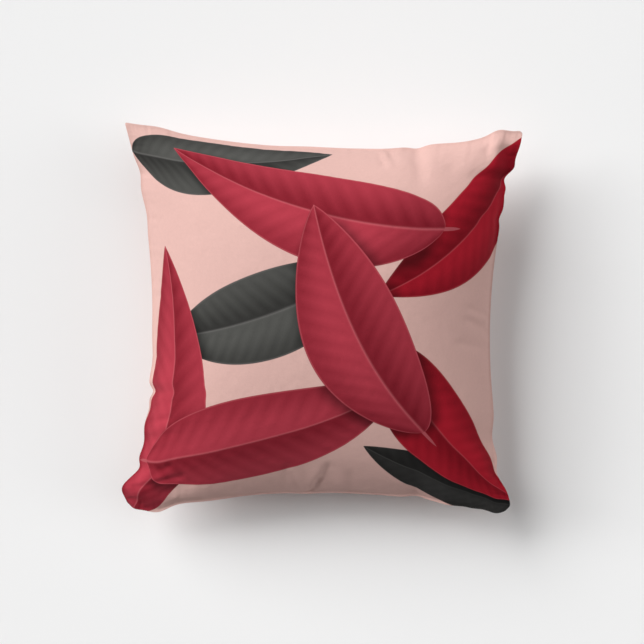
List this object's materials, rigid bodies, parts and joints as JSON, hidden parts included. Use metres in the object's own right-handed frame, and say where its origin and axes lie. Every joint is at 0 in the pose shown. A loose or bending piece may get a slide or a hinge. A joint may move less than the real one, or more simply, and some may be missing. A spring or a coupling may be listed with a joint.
{
  "type": "square throw cushion",
  "caption": "Square knife-edge throw cushion, filled, with a crowned printed front, drawn-in sides and soft corner ears, lying on its back.",
  "frame": {"origin": "centre of the cushion's bounding box in plan, on the surface it lies on", "axes": "+Z up through the thickness, out of the printed front; +X right and +Y up on the printed front"},
  "size_m": [0.3976, 0.3912, 0.1373],
  "materials": {
    "printed_weave": null
  },
  "bodies": {
    "root": {"cushion": "printed_weave"}
  },
  "joints": []
}
